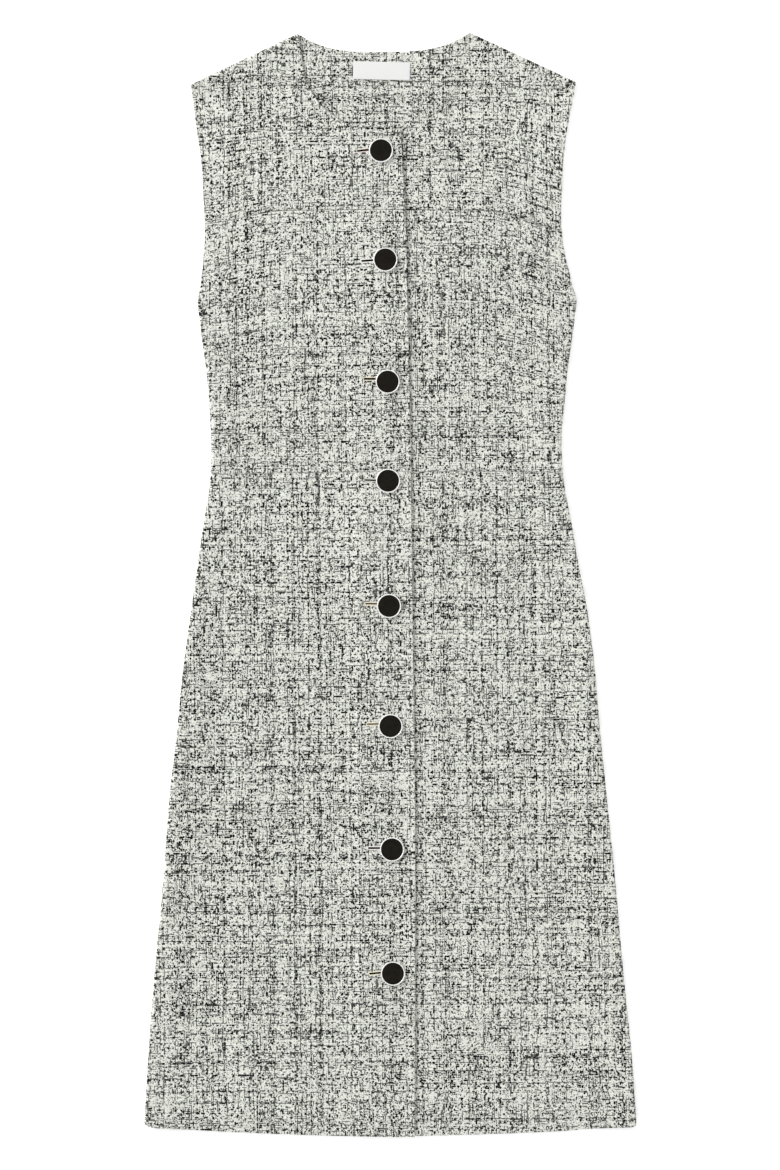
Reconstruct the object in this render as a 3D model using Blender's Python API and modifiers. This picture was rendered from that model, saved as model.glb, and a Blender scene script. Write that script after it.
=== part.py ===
"""Sleeveless A-line dress, buttoned down the front, laid flat on its back.

Metres, +Z up. The neck points towards +Y and the front faces up. The origin is the middle
of the dress on the surface that it lies on. Right and left are the wearer's, so the right
front lies at -X, and it laps over the left front. Every cloth piece is drawn as its flat
cut, in (out, down): out from the middle line towards its own side seam, and down from the
neck points. It is then laid: its sides and shoulders roll over into their seams.
"""

import math

import bmesh
import bpy

# ---- Driving dimensions ----------------------------------------------------------------
MM = 0.001
LENGTH = 1.048          # neck points to the lowest point of the hem
NECK_HALF = 0.082       # middle line to a neck point
SHOULDER_DROP = 0.0475  # neck point to shoulder tip, down
FRONT_NECK_DOWN = 0.0925  # neck points to the lap's corner at the front neckline
UNDERARM_DOWN = 0.2545
CLOTH = 0.002           # wall of the tweed
GAP = 0.0003            # clearance between neighbouring pieces
UNDERLAP = 0.046        # how far the left front runs on beneath the right front's edge

SIDE_ROLL = 0.0021      # radius of the middle of the wall where it turns to a side seam
SIDE_TAIL = 0.0005      # straight end of the turned edge, which meets the other one's
SHOULDER_ROLL = 0.0013
SHOULDER_TAIL = 0.0006
SIDE_SWELL = 0.042      # width over which a front rises to its side roll
SHOULDER_SWELL = 0.025
ARMHOLE_CLOSE = 0.030   # height above the underarm over which the side roll opens out
ARMHOLE_LIFT = 0.0003   # rise of a front along its armhole edge
STEP_CLEAR = 0.004      # flat cloth past the underlap before the right front comes down
STEP_RUN = 0.012

# Heights of the middle of the wall: the back, the fronts, and the lapped right front.
BACK_Z = CLOTH / 2
FRONT_Z = BACK_Z + CLOTH + GAP
LAP_Z = FRONT_Z + CLOTH + GAP
SIDE_TOP_Z = BACK_Z + 2 * (SIDE_ROLL + SIDE_TAIL)
SHOULDER_TOP_Z = BACK_Z + 2 * (SHOULDER_ROLL + SHOULDER_TAIL)
UNDERLAP_TOP_Z = FRONT_Z + CLOTH / 2
BUTTON_Z = LAP_Z + CLOTH / 2 + GAP

RIGHT = -1
LEFT = 1

# ---- Tables, in millimetres ------------------------------------------------------------
# Armhole edge: down, half-width on the right, half-width on the left.
ARMHOLE = (
    (47.5, 183.5, 182.5),
    (91.0, 178.0, 174.0),
    (120.0, 174.0, 170.0),
    (149.0, 172.5, 168.5),
    (177.0, 171.0, 167.5),
    (206.0, 172.0, 170.0),
    (234.0, 175.0, 176.5),
    (254.5, 178.5, 182.0),
)
# Side seam: down, half-width on the right, half-width on the left.
SIDE = (
    (254.5, 178.5, 182.0),
    (290.0, 174.5, 177.5),
    (320.0, 170.5, 173.0),
    (350.0, 168.0, 170.0),
    (380.0, 166.5, 167.0),
    (405.0, 166.5, 167.0),
    (433.0, 168.5, 169.5),
    (462.0, 173.5, 175.0),
    (505.0, 180.0, 182.0),
    (548.0, 186.5, 190.0),
    (605.0, 194.5, 197.0),
    (662.0, 200.5, 201.5),
    (720.0, 207.5, 207.0),
    (805.0, 214.5, 215.0),
    (890.0, 223.0, 222.0),
    (975.0, 230.0, 230.0),
    (1040.0, 234.0, 234.0),
)
# Scooped front neckline: out, down. It starts past the middle line, under the lap.
FRONT_NECK = (
    (-34.0, 87.0),
    (-14.0, 91.8),
    (0.0, 92.7),
    (14.0, 91.8),
    (33.0, 87.0),
    (50.0, 76.5),
    (61.0, 67.0),
    (67.0, 58.0),
    (72.5, 48.0),
    (76.5, 37.0),
    (78.0, 26.0),
    (79.5, 13.0),
    (82.0, 0.0),
)
# Back neckline: out, down.
BACK_NECK = (
    (0.0, 17.8),
    (30.0, 16.8),
    (45.0, 14.8),
    (55.0, 12.5),
    (67.0, 8.0),
    (82.0, 0.0),
)
# Yoke seam: out, down on the right, down on the left.
YOKE_SEAM = (
    (-30.0, 167.5, 168.0),
    (95.0, 168.0, 169.0),
    (114.0, 170.0, 172.0),
    (133.0, 174.0, 177.5),
    (150.0, 177.5, 183.5),
    (171.0, 180.5, 190.5),
)
# Waist seam: out, down on the right, down on the left.
WAIST_SEAM = (
    (-30.0, 416.6, 416.6),
    (80.0, 416.8, 416.8),
    (170.0, 418.0, 418.0),
)
# Hem: out, down on the right, down on the left.
HEM = (
    (-30.0, 1048.0, 1047.0),
    (0.0, 1048.0, 1047.5),
    (70.0, 1046.0, 1046.5),
    (150.0, 1042.5, 1044.0),
    (190.0, 1040.0, 1041.5),
    (222.0, 1038.3, 1040.4),
    (229.0, 1037.0, 1040.0),
    (232.3, 1034.8, 1039.0),
    (234.5, 1031.5, 1037.0),
)
BACK_HEM_RISE = 1.5 * MM  # the back's hem stays hidden behind the front's
# Edge of the lapped right front: down, distance past the middle line.
LAP_EDGE = (
    (92.0, 15.5),
    (167.0, 19.5),
    (294.0, 22.0),
    (415.0, 23.5),
    (600.0, 24.5),
    (750.0, 25.5),
    (966.0, 24.0),
    (1049.0, 23.0),
)
# Buttons: down, x, and the right front piece that the buttonhole is cut in.
BUTTONS = (
    (111.6, -3.2, "yoke"),
    (215.2, 0.3, "bodice"),
    (331.1, 1.8, "bodice"),
    (425.1, 1.6, "skirt"),
    (543.9, 1.8, "skirt"),
    (657.9, 2.5, "skirt"),
    (774.8, 3.2, "skirt"),
    (892.6, 3.4, "skirt"),
)
# Columns of a cloth piece: distances from its inner edge, then even ones that make up the
# count, then distances from its outer edge. A yoke and the back bodice have as many as
# their neckline and shoulder give.
STRIP_COLUMNS = {
    RIGHT: (0.0, 16.0, 32.0, 48.5, 53.0, 58.0, 63.5),
    LEFT: (0.0, 20.0, 36.0, 50.0, 63.5),
}
EDGE_COLUMNS = (36.0, 14.0, 3.7, 2.6, 1.5, 0.35, 0.0)
FRONT_COLUMNS = 17
BACK_COLUMNS = 14       # of each half
# Along a neckline: how many even steps, then distances from the neck point.
FRONT_NECK_STEPS = 4
BACK_NECK_STEPS = 4
NECK_COLUMNS = (45.0, 25.0, 11.0, 4.2, 3.0, 1.6, 0.4, 0.0)
# Rows: how far down each meets the armhole or the side seam. Front and back share them.
OUTER_ROWS = (
    48.1, 48.8, 49.5, 50.3, 57.0, 69.0, 90.0, 120.0, 155.0, 205.0, 224.5, 232.0, 239.5, 247.0, 254.5,
    280.0, 320.0, 370.0, 433.0, 462.0, 500.0, 548.0, 605.0, 662.0, 740.0, 830.0, 920.0, 1000.0,
)
ROW_CLEAR = 0.25 * MM   # least distance of a row from the top or bottom of its piece
SEAM_ROUNDS = 4         # steps that find where a sloping seam meets the outer edge
WELD = 0.01 * MM        # points closer than this are one

# ---- Buttons and label -----------------------------------------------------------------
BUTTON_SEGMENTS = 24
# Metal cup with a raised rim: radius, height over the button's underside, from the middle
# of the recess round the rim to the middle of the underside.
CUP_PROFILE = (
    (0.0, 1.6),
    (10.45, 1.6),
    (10.45, 3.1),
    (10.65, 3.3),
    (10.95, 3.2),
    (11.15, 2.8),
    (11.15, 1.0),
    (10.6, 0.35),
    (9.0, 0.0),
    (0.0, 0.0),
)
# Enamel face in the cup: radius, height over the button's underside, top to bottom.
FACE_PROFILE = (
    (0.0, 3.3),
    (6.0, 3.24),
    (9.4, 3.05),
    (10.15, 2.75),
    (10.15, 1.9),
    (0.0, 1.9),
)
SHANK_LENGTH = 6.0 * MM             # along the buttonhole
SHANK_WIDTH = 1.0 * MM
HOLE_PAST_SHANK = 0.5 * MM          # buttonhole beyond the shank, towards the lap's edge
HOLE_LENGTH = 26.3 * MM
HOLE_WIDTH = 1.6 * MM
HOLE_END_SEGMENTS = 5

LABEL_WIDTH = 54.0 * MM
LABEL_HEIGHT = 17.0 * MM
LABEL_WALL = 1.0 * MM
LABEL_DOWN = 35.6 * MM
LABEL_X = -2.2 * MM
LABEL_TILT = math.radians(-1.6)


# ---- Curves ----------------------------------------------------------------------------
def hermite(keys, values, at):
    """Smooth value at `at`, through the `values` that stand at the rising `keys`."""
    last = len(keys) - 1
    i = 0
    while i < last - 1 and at > keys[i + 1]:
        i += 1

    def slope(k):
        before, after = max(k - 1, 0), min(k + 1, last)
        return (values[after] - values[before]) / (keys[after] - keys[before])

    span = keys[i + 1] - keys[i]
    t = (at - keys[i]) / span
    rise = values[i + 1] - values[i]
    start, end = slope(i) * span, slope(i + 1) * span
    bow = (1 - t) * start - t * end + (2 * t - 1) * rise
    return values[i] + t * rise + t * (1 - t) * bow


def read(table, at, column=1):
    """A column of a table, where its first column is `at`. Both are in metres."""
    keys = [row[0] for row in table]
    values = [row[column] for row in table]
    return hermite(keys, values, at / MM) * MM


def side_column(side):
    return 1 if side == RIGHT else 2


def neck_run(table, start, steps):
    """Points along a neckline, from the place `start` out to the neck point."""
    outs = [row[0] for row in table]
    downs = [row[1] for row in table]
    run = [0.0]
    for (x0, y0), (x1, y1) in zip(table, table[1:]):
        run.append(run[-1] + math.hypot(x1 - x0, y1 - y0))
    first = hermite(outs, run, start / MM)
    near_neck = [run[-1] - distance for distance in NECK_COLUMNS]
    step = (near_neck[0] - first) / steps
    places = [first + step * k for k in range(steps)] + near_neck
    return [(hermite(run, outs, at) * MM, hermite(run, downs, at) * MM) for at in places]


# ---- The flat cut ----------------------------------------------------------------------
def roll_angle(down):
    """How far an outer edge turns over: a quarter turn along the side seam, and none
    along the armhole."""
    if down >= UNDERARM_DOWN:
        return math.pi / 2
    return math.pi / 2 * ease(1 - (UNDERARM_DOWN - down) / ARMHOLE_CLOSE)


def side_tail(angle):
    """Straight cloth past the side roll, which leaves half the clearance at the seam."""
    return (SIDE_TAIL - GAP / 2) * math.sin(angle)


def outer_cut(side, down):
    """Half-width of the flat cut, which keeps the outline once the edge is turned over."""
    outline = read(ARMHOLE if down < UNDERARM_DOWN else SIDE, down, side_column(side))
    angle = roll_angle(down)
    crease = outline - (SIDE_ROLL + CLOTH / 2) * math.sin(angle)
    crease -= side_tail(angle) * math.cos(angle)
    return crease + SIDE_ROLL * angle + side_tail(angle)


def inner_cut(side, down):
    """Edge of a front at the closure: the lap's edge, or the underlap's."""
    edge = read(LAP_EDGE, down)
    return -edge if side == RIGHT else edge - UNDERLAP


def stations(inner, outer, strip, count):
    """`count` places across a piece, from its inner edge to its outer one."""
    near = [inner + distance * MM for distance in strip]
    far = [outer - distance * MM for distance in EDGE_COLUMNS]
    spare = count - len(near) - len(far)
    step = (far[0] - near[-1]) / (spare + 1)
    return near + [near[-1] + step * (k + 1) for k in range(spare)] + far


def seam_points(side, table, shift, inner, strip, count):
    """Points along a crosswise seam or hem, which `shift` moves down."""
    column = side_column(side)

    def seam(out):
        return read(table, out, column) + shift

    start = inner(seam(0.0))
    end = table[-1][0] * MM
    for _ in range(SEAM_ROUNDS):
        end = outer_cut(side, seam(end))
    return [(out, seam(out)) for out in stations(start, end, strip, count)]


def shoulder_frame(side):
    """Length of the shoulder seam, and its outward direction in (out, down)."""
    run = read(ARMHOLE, SHOULDER_DROP, side_column(side)) - NECK_HALF
    length = math.hypot(run, SHOULDER_DROP)
    return length, (SHOULDER_DROP / length, -run / length)


def shoulder_points(side):
    """Points along the shoulder seam's cut edge, out to the shoulder tip."""
    length, normal = shoulder_frame(side)
    turned_over = SHOULDER_ROLL * math.pi / 2 + SHOULDER_TAIL - GAP / 2
    pull = SHOULDER_ROLL + CLOTH / 2 - turned_over
    points = []
    for distance in EDGE_COLUMNS:
        along = length - distance * MM
        points.append((NECK_HALF - normal[1] * along - normal[0] * pull,
                       normal[0] * along - normal[1] * pull))
    return points


def patch(top, bottom, inner, outer):
    """Rows of flat points between a top and a bottom line. `inner` and `outer` give the
    side edges, whose bow dies away across the piece."""
    last = len(top) - 1
    first_down, last_down = top[last][1], bottom[last][1]
    inside = [down * MM for down in OUTER_ROWS
              if first_down + ROW_CLEAR < down * MM < last_down - ROW_CLEAR]
    rows = [(down - first_down) / (last_down - first_down) for down in inside]

    def share(line, i):
        return (line[i][0] - line[0][0]) / (line[last][0] - line[0][0])

    weights = [((share(top, i) + share(bottom, i)) / 2) ** 2 for i in range(last + 1)]
    grid = []
    for t in [0.0, *rows, 1.0]:
        straight = [(a[0] + (b[0] - a[0]) * t, a[1] + (b[1] - a[1]) * t)
                    for a, b in zip(top, bottom)]
        inner_bow = inner(straight[0][1]) - straight[0][0]
        outer_bow = outer(straight[last][1]) - straight[last][0]
        if t in (0.0, 1.0):
            inner_bow = outer_bow = 0.0
        grid.append([(out + (1 - w) * inner_bow + w * outer_bow, down)
                     for (out, down), w in zip(straight, weights)])
    return grid


# ---- Laying the flat cut ---------------------------------------------------------------
def ease(t):
    """0 to 1, flat at both ends."""
    t = min(max(t, 0.0), 1.0)
    return t * t * (3 - 2 * t)


def front_height(side, out, down, inside_side, inside_shoulder, share):
    """Middle of a front's wall over the surface, before its edges turn over."""
    swell = ARMHOLE_LIFT + (SIDE_TOP_Z - FRONT_Z - ARMHOLE_LIFT) * share
    swell *= ease(1 - inside_side / SIDE_SWELL)
    lift = (SHOULDER_TOP_Z - FRONT_Z) * ease(1 - inside_shoulder / SHOULDER_SWELL)
    height = FRONT_Z + max(swell, lift)
    if side == RIGHT:
        past_underlap = out + read(LAP_EDGE, down) - UNDERLAP
        height += (LAP_Z - FRONT_Z) * (1 - ease((past_underlap - STEP_CLEAR) / STEP_RUN))
    return height


def turn_over(past_crease, radius, angle):
    """A roll through `angle`, then straight on: how far a point that lies `past_crease`
    is drawn in, and how far it leaves the sheet's plane."""
    if past_crease <= 0 or angle == 0:
        return 0.0, 0.0
    bend = min(past_crease / radius, angle)
    tail = past_crease - radius * bend
    reach = radius * math.sin(bend) + tail * math.cos(bend)
    return past_crease - reach, radius * (1 - math.cos(bend)) + tail * math.sin(bend)


def lay(side, row, point, is_front):
    """World position of a flat point in a row that ends at the outer edge."""
    out, down = point
    edge_out, edge_down = row[-1]
    angle = roll_angle(edge_down)
    past_side = out - (edge_out - SIDE_ROLL * angle - side_tail(angle))
    normal = shoulder_frame(side)[1]
    past_shoulder = (out - NECK_HALF) * normal[0] + down * normal[1]
    past_shoulder += SHOULDER_ROLL + CLOTH / 2
    if is_front:
        height = front_height(side, out, down, max(-past_side, 0.0), max(-past_shoulder, 0.0),
                              angle / (math.pi / 2))
        turn = -1
    else:
        height = BACK_Z
        turn = 1
    drawn_in, fall = turn_over(past_side, SIDE_ROLL, angle)
    out -= drawn_in
    height += turn * fall
    drawn_in, fall = turn_over(past_shoulder, SHOULDER_ROLL, math.pi / 2)
    out -= normal[0] * drawn_in
    down -= normal[1] * drawn_in
    height += turn * fall
    return side * out, LENGTH / 2 - down, height


# ---- Cloth pieces ----------------------------------------------------------------------
def cloth_piece(name, grid, look, collection):
    """A wall of cloth whose middle runs through a grid of laid points."""
    rows, columns = len(grid), len(grid[0])
    bm = bmesh.new()
    bmesh.ops.create_grid(bm, x_segments=columns - 1, y_segments=rows - 1, size=0.5)
    bm.verts.ensure_lookup_table()
    for index, point in enumerate(point for row in grid for point in row):
        bm.verts[index].co = point
    mesh = bpy.data.meshes.new(name)
    bm.to_mesh(mesh)
    bm.free()
    mesh.materials.append(look)
    mesh.shade_smooth()
    piece = bpy.data.objects.new(name, mesh)
    collection.objects.link(piece)
    wall = piece.modifiers.new("wall", "SOLIDIFY")
    wall.thickness = CLOTH
    wall.offset = 0.0
    return piece


def front_pieces(side, look, collection):
    """Yoke, bodice and skirt of one front, from its closure to its side seam."""
    word = "right" if side == RIGHT else "left"
    strip = STRIP_COLUMNS[side]

    def inner(down):
        return inner_cut(side, down)

    def outer(down):
        return outer_cut(side, down)

    def across(table, shift, count=FRONT_COLUMNS):
        return seam_points(side, table, shift, inner, strip, count)

    start = inner(FRONT_NECK_DOWN)
    neck = [(start + d * MM, read(FRONT_NECK, start + d * MM)) for d in strip[:-1]]
    neck += neck_run(FRONT_NECK, start + strip[-1] * MM, FRONT_NECK_STEPS)
    yoke_top = neck + shoulder_points(side)
    half = GAP / 2
    cuts = {
        "yoke": (yoke_top, across(YOKE_SEAM, -half, len(yoke_top))),
        "bodice": (across(YOKE_SEAM, half), across(WAIST_SEAM, -half)),
        "skirt": (across(WAIST_SEAM, half), across(HEM, 0.0)),
    }
    pieces = {}
    for cut, (top, bottom) in cuts.items():
        flat = patch(top, bottom, inner, outer)
        laid = [[lay(side, row, point, True) for point in row] for row in flat]
        pieces[cut] = cloth_piece(f"{word}_front_{cut}", laid, look, collection)
    return pieces


def back_half(side, cut):
    """Laid points of half of a back piece, from the middle line to the side seam."""
    def middle(down):
        return 0.0

    def outer(down):
        return outer_cut(side, down)

    def across(table, shift, count=BACK_COLUMNS):
        return seam_points(side, table, shift, middle, (0.0,), count)

    half = GAP / 2
    if cut == "bodice":
        top = neck_run(BACK_NECK, 0.0, BACK_NECK_STEPS) + shoulder_points(side)
        flat = patch(top, across(WAIST_SEAM, -half, len(top)), middle, outer)
    else:
        flat = patch(across(WAIST_SEAM, half), across(HEM, -BACK_HEM_RISE), middle, outer)
    return [[lay(side, row, point, False) for point in row] for row in flat]


def back_pieces(look, collection):
    for cut in ("bodice", "skirt"):
        halves = zip(back_half(RIGHT, cut), back_half(LEFT, cut))
        laid = [right[:0:-1] + left for right, left in halves]
        cloth_piece(f"back_{cut}", laid, look, collection)


# ---- Buttonholes -----------------------------------------------------------------------
def buttonhole_cutters(cut, collection):
    """Slots with round ends, for the buttonholes of one right front piece."""
    outlines = bpy.data.curves.new(f"buttonholes_{cut}", "CURVE")
    outlines.dimensions = "2D"
    outlines.fill_mode = "BOTH"
    outlines.extrude = CLOTH
    radius = HOLE_WIDTH / 2
    for down, x, piece in BUTTONS:
        if piece != cut:
            continue
        near = x * MM + SHANK_LENGTH / 2 + HOLE_PAST_SHANK - radius
        far = near - (HOLE_LENGTH - HOLE_WIDTH)
        spline = outlines.splines.new("POLY")
        spline.use_cyclic_u = True
        spline.points.add(2 * HOLE_END_SEGMENTS + 1)
        for k, point in enumerate(spline.points):
            at_near = k <= HOLE_END_SEGMENTS
            step = k if at_near else k - 1
            turn = math.pi * (step / HOLE_END_SEGMENTS - 0.5)
            centre = near if at_near else far
            point.co = (centre + radius * math.cos(turn),
                        LENGTH / 2 - down * MM + radius * math.sin(turn), 0.0, 1.0)
    shape = bpy.data.objects.new(outlines.name, outlines)
    collection.objects.link(shape)
    bpy.context.view_layer.update()
    evaluated = shape.evaluated_get(bpy.context.evaluated_depsgraph_get())
    mesh = bpy.data.meshes.new_from_object(evaluated)
    bpy.data.objects.remove(shape)
    bm = bmesh.new()
    bm.from_mesh(mesh)
    bmesh.ops.remove_doubles(bm, verts=bm.verts, dist=WELD)
    bmesh.ops.recalc_face_normals(bm, faces=bm.faces)
    bm.to_mesh(mesh)
    bm.free()
    cutter = bpy.data.objects.new(outlines.name, mesh)
    cutter.location.z = LAP_Z
    cutter.hide_render = True
    cutter.display_type = "WIRE"
    collection.objects.link(cutter)
    return cutter


def cut_buttonholes(right_front, collection):
    for cut, piece in right_front.items():
        slots = piece.modifiers.new("buttonholes", "BOOLEAN")
        slots.operation = "DIFFERENCE"
        slots.object = buttonhole_cutters(cut, collection)


# ---- Buttons and label -----------------------------------------------------------------
def turned(name, profile, look, collection):
    """A solid turned about Z, from a profile of radii and heights."""
    mesh = bpy.data.meshes.new(name)
    points = [(radius * MM, 0.0, height * MM) for radius, height in profile]
    edges = [(i, i + 1) for i in range(len(points) - 1)]
    mesh.from_pydata(points, edges, [])
    mesh.materials.append(look)
    solid = bpy.data.objects.new(name, mesh)
    collection.objects.link(solid)
    screw = solid.modifiers.new("turn", "SCREW")
    screw.steps = screw.render_steps = BUTTON_SEGMENTS
    screw.use_merge_vertices = True
    screw.merge_threshold = WELD
    screw.use_smooth_shade = True
    return solid


def shank_mesh():
    """Flat loop under a button, from inside its cup down to the underlap."""
    top = CUP_PROFILE[0][1] / 2 * MM
    foot = UNDERLAP_TOP_Z + GAP - BUTTON_Z
    bm = bmesh.new()
    bmesh.ops.create_cube(bm, size=1.0)
    bmesh.ops.scale(bm, vec=(SHANK_LENGTH, SHANK_WIDTH, top - foot), verts=bm.verts)
    bmesh.ops.translate(bm, vec=(0.0, 0.0, (top + foot) / 2), verts=bm.verts)
    mesh = bpy.data.meshes.new("shank")
    bm.to_mesh(mesh)
    bm.free()
    return mesh


def buttons(metal, enamel, collection, cutters):
    shank = shank_mesh()
    for number, (down, x, _) in enumerate(BUTTONS, start=1):
        place = (x * MM, LENGTH / 2 - down * MM, BUTTON_Z)
        cup = turned(f"button_{number}", CUP_PROFILE, metal, collection)
        cup.location = place
        loop = bpy.data.objects.new(f"shank_{number}", shank)
        loop.location = place
        loop.hide_render = True
        loop.display_type = "WIRE"
        cutters.objects.link(loop)
        join = cup.modifiers.new("shank", "BOOLEAN")
        join.operation = "UNION"
        join.object = loop
        face = turned(f"button_{number}_face", FACE_PROFILE, enamel, collection)
        face.location = place


def neck_label(look, collection):
    """Bare woven label on the inside of the back, under the back neckline."""
    bm = bmesh.new()
    bmesh.ops.create_cube(bm, size=1.0)
    bmesh.ops.scale(bm, vec=(LABEL_WIDTH, LABEL_HEIGHT, LABEL_WALL), verts=bm.verts)
    mesh = bpy.data.meshes.new("neck_label")
    bm.to_mesh(mesh)
    bm.free()
    mesh.materials.append(look)
    label = bpy.data.objects.new("neck_label", mesh)
    label.location = (LABEL_X, LENGTH / 2 - LABEL_DOWN, CLOTH + GAP + LABEL_WALL / 2)
    label.rotation_euler.z = LABEL_TILT
    collection.objects.link(label)


# ---- The dress -------------------------------------------------------------------------
def material(name, colour, roughness, metallic=0.0):
    look = bpy.data.materials.new(name)
    look.use_nodes = True
    shader = look.node_tree.nodes["Principled BSDF"]
    shader.inputs["Base Color"].default_value = (*colour, 1.0)
    shader.inputs["Roughness"].default_value = roughness
    shader.inputs["Metallic"].default_value = metallic
    return look


def new_collection(name, hidden=False):
    collection = bpy.data.collections.new(name)
    collection.hide_render = hidden
    bpy.context.scene.collection.children.link(collection)
    return collection


def build():
    for obj in list(bpy.data.objects):
        bpy.data.objects.remove(obj)
    dress = new_collection("a_line_dress")
    cutters = new_collection("cutters", hidden=True)
    tweed = material("tweed", (0.42, 0.42, 0.40), 0.95)
    satin = material("label_satin", (0.88, 0.88, 0.87), 0.5)
    metal = material("button_metal", (0.78, 0.77, 0.75), 0.25, metallic=1.0)
    enamel = material("button_enamel", (0.012, 0.010, 0.008), 0.1)

    right_front = front_pieces(RIGHT, tweed, dress)
    front_pieces(LEFT, tweed, dress)
    back_pieces(tweed, dress)
    cut_buttonholes(right_front, cutters)
    buttons(metal, enamel, dress, cutters)
    neck_label(satin, dress)


build()
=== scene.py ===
"""Finish of the sleeveless A-line dress: its woven cloth, seams, buttonholes and buttons.

Metres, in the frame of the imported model: the dress lies on its back on the floor, the neck
towards +Y and the front up. Right and left are the wearer's, so the right front lies at -X.
Every cloth piece is drawn as its flat cut, in (out, down): out from the middle line towards
its own side seam, and down from the neck points. It is then laid, and its sides and
shoulders roll over into their seams. The flat cut also places the weave.
"""
import math

import bmesh
import bpy
import numpy as np
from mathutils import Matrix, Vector, noise


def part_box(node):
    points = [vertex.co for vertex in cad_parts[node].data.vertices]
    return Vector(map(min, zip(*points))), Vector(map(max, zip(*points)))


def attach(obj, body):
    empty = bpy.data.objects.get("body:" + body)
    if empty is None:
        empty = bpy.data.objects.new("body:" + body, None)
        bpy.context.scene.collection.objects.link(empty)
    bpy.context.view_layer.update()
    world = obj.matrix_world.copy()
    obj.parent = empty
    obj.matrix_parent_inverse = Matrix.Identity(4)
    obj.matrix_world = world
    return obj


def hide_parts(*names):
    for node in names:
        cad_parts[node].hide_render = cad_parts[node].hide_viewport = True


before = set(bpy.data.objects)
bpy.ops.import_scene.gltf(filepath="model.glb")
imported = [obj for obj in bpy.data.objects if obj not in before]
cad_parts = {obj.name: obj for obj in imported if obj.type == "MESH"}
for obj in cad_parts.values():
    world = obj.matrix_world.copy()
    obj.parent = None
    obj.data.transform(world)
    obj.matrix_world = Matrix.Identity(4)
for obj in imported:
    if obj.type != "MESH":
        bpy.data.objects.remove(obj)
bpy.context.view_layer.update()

# ---- Driving dimensions, as in the solids ------------------------------------------------
MM = 0.001
LENGTH = 1.048             # neck points to the lowest point of the hem
NECK_HALF = 0.082          # middle line to a neck point
SHOULDER_DROP = 0.0475     # neck point to shoulder tip, down
FRONT_NECK_DOWN = 0.0925   # neck points to the lap's corner at the front neckline
UNDERARM_DOWN = 0.2545
CLOTH = 0.002              # wall of the tweed
GAP = 0.0003               # clearance between neighbouring pieces
UNDERLAP = 0.046           # how far the left front runs on beneath the right front's edge
SIDE_ROLL = 0.0021         # radius of the middle of the wall where it turns to a side seam
SIDE_TAIL = 0.0005         # straight end of the turned edge, which meets the other one's
SHOULDER_ROLL = 0.0013
SHOULDER_TAIL = 0.0006
SIDE_SWELL = 0.042         # width over which a front rises to its side roll
SHOULDER_SWELL = 0.025
ARMHOLE_CLOSE = 0.030      # height above the underarm over which the side roll opens out
ARMHOLE_LIFT = 0.0003      # rise of a front along its armhole edge
STEP_CLEAR = 0.004         # flat cloth past the underlap before the right front comes down
STEP_RUN = 0.012

# Heights of the middle of the wall: the back, the fronts, and the lapped right front.
BACK_Z = CLOTH / 2
FRONT_Z = BACK_Z + CLOTH + GAP
LAP_Z = FRONT_Z + CLOTH + GAP
SIDE_TOP_Z = BACK_Z + 2 * (SIDE_ROLL + SIDE_TAIL)
SHOULDER_TOP_Z = BACK_Z + 2 * (SHOULDER_ROLL + SHOULDER_TAIL)

RIGHT = -1
LEFT = 1

# ---- Low relief that the solids don't have -------------------------------------------------
LAP_LIFT = 0.0009          # the lap's edge stands off its rest by this
LAP_LIFT_RUN = 0.008       # and comes down over this width
NECK_LIFT = 0.0012         # the front neckline stands off its rest by this
NECK_LIFT_RUN = 0.016
NECK_LIFT_END = 0.022      # the lift dies away over this width before the neck point

# ---- Outline tables, in millimetres, as in the solids -------------------------------------
# Armhole edge: down, half-width on the right, half-width on the left.
ARMHOLE = (
    (47.5, 183.5, 182.5),
    (91.0, 178.0, 174.0),
    (120.0, 174.0, 170.0),
    (149.0, 172.5, 168.5),
    (177.0, 171.0, 167.5),
    (206.0, 172.0, 170.0),
    (234.0, 175.0, 176.5),
    (254.5, 178.5, 182.0),
)
# Side seam: down, half-width on the right, half-width on the left.
SIDE = (
    (254.5, 178.5, 182.0),
    (290.0, 174.5, 177.5),
    (320.0, 170.5, 173.0),
    (350.0, 168.0, 170.0),
    (380.0, 166.5, 167.0),
    (405.0, 166.5, 167.0),
    (433.0, 168.5, 169.5),
    (462.0, 173.5, 175.0),
    (505.0, 180.0, 182.0),
    (548.0, 186.5, 190.0),
    (605.0, 194.5, 197.0),
    (662.0, 200.5, 201.5),
    (720.0, 207.5, 207.0),
    (805.0, 214.5, 215.0),
    (890.0, 223.0, 222.0),
    (975.0, 230.0, 230.0),
    (1040.0, 234.0, 234.0),
)
# Scooped front neckline: out, down. It starts past the middle line, under the lap.
FRONT_NECK = (
    (-34.0, 87.0),
    (-14.0, 91.8),
    (0.0, 92.7),
    (14.0, 91.8),
    (33.0, 87.0),
    (50.0, 76.5),
    (61.0, 67.0),
    (67.0, 58.0),
    (72.5, 48.0),
    (76.5, 37.0),
    (78.0, 26.0),
    (79.5, 13.0),
    (82.0, 0.0),
)
# Back neckline: out, down.
BACK_NECK = (
    (0.0, 17.8),
    (30.0, 16.8),
    (45.0, 14.8),
    (55.0, 12.5),
    (67.0, 8.0),
    (82.0, 0.0),
)
# Yoke seam: out, down on the right, down on the left.
YOKE_SEAM = (
    (-30.0, 167.5, 168.0),
    (95.0, 168.0, 169.0),
    (114.0, 170.0, 172.0),
    (133.0, 174.0, 177.5),
    (150.0, 177.5, 183.5),
    (171.0, 180.5, 190.5),
)
# Waist seam: out, down on the right, down on the left.
WAIST_SEAM = (
    (-30.0, 416.6, 416.6),
    (80.0, 416.8, 416.8),
    (170.0, 418.0, 418.0),
)
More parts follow.
